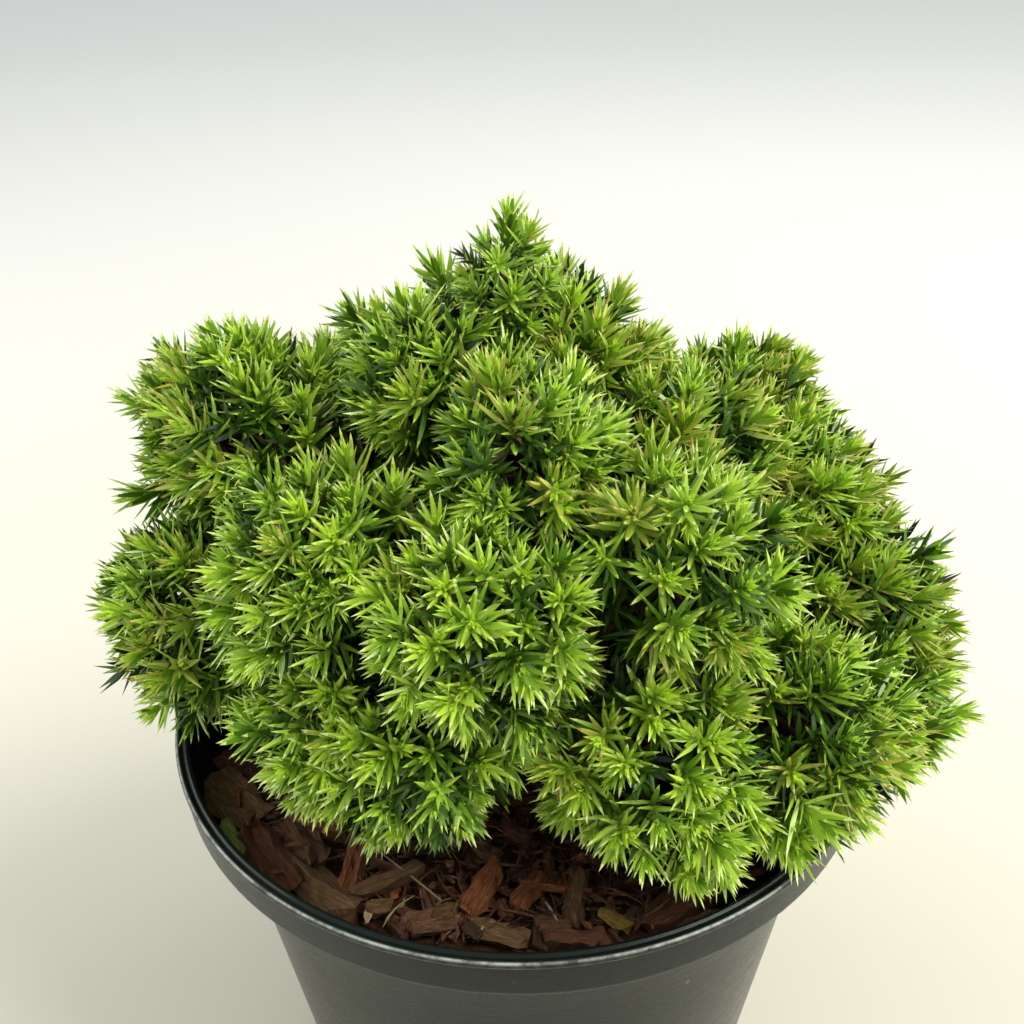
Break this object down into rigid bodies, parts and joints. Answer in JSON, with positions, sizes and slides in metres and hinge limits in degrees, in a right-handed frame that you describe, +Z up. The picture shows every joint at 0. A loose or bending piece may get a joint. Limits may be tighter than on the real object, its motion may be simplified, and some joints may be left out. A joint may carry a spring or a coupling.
{
  "type": "potted dwarf conifer",
  "caption": "Dwarf garden conifer, a dense bumpy mound of short needled shoots with a low conical top, in a round tapered nursery pot with a wide rim band.",
  "frame": {"origin": "centre of the pot's flat underside, which is the lowest face", "axes": "+Z up along the pot's axis, -Y towards the plant's front, +X to the right of someone who looks at the front"},
  "size_m": [0.2073, 0.1815, 0.2514],
  "materials": {
    "pot": "satin",
    "soil": "matte",
    "bark": "matte",
    "wood": "matte",
    "foliage": "satin"
  },
  "bodies": {
    "root": {"pot": "pot", "soil": "soil", "bark_bed": "bark", "trunk": "wood", "bough_upper_left": "wood", "bough_upper_right": "wood", "bough_upper_front": "wood", "bough_upper_right_side": "wood", "bough_upper_back": "wood", "bough_left_shoulder": "wood", "bough_right_shoulder": "wood", "bough_right_back_shoulder": "wood", "bough_back_left_shoulder": "wood", "bough_back_left": "wood", "bough_back_right": "wood", "bough_front_left": "wood", "bough_front": "wood", "bough_front_right": "wood", "bough_left_side": "wood", "bough_right_side": "wood", "bough_front_left_low": "wood", "bough_front_low": "wood", "bough_front_right_low": "wood", "bough_right_front_low": "wood", "bough_right_low": "wood", "bough_back_left_low": "wood", "bough_back_low_left": "wood", "bough_back_low": "wood", "bough_back_low_right": "wood", "bough_right_back_low": "wood", "foliage_leader": "foliage", "foliage_upper_left": "foliage", "foliage_upper_right": "foliage", "foliage_upper_front": "foliage", "foliage_upper_right_side": "foliage", "foliage_upper_back": "foliage", "foliage_left_shoulder": "foliage", "foliage_right_shoulder": "foliage", "foliage_right_back_shoulder": "foliage", "foliage_back_left_shoulder": "foliage", "foliage_back_left": "foliage", "foliage_back_right": "foliage", "foliage_front_left": "foliage", "foliage_front": "foliage", "foliage_front_right": "foliage", "foliage_left_side": "foliage", "foliage_right_side": "foliage", "foliage_front_left_low": "foliage", "foliage_front_low": "foliage", "foliage_front_right_low": "foliage", "foliage_right_front_low": "foliage", "foliage_right_low": "foliage", "foliage_back_left_low": "foliage", "foliage_back_low_left": "foliage", "foliage_back_low": "foliage", "foliage_back_low_right": "foliage", "foliage_right_back_low": "foliage"}
  },
  "joints": []
}
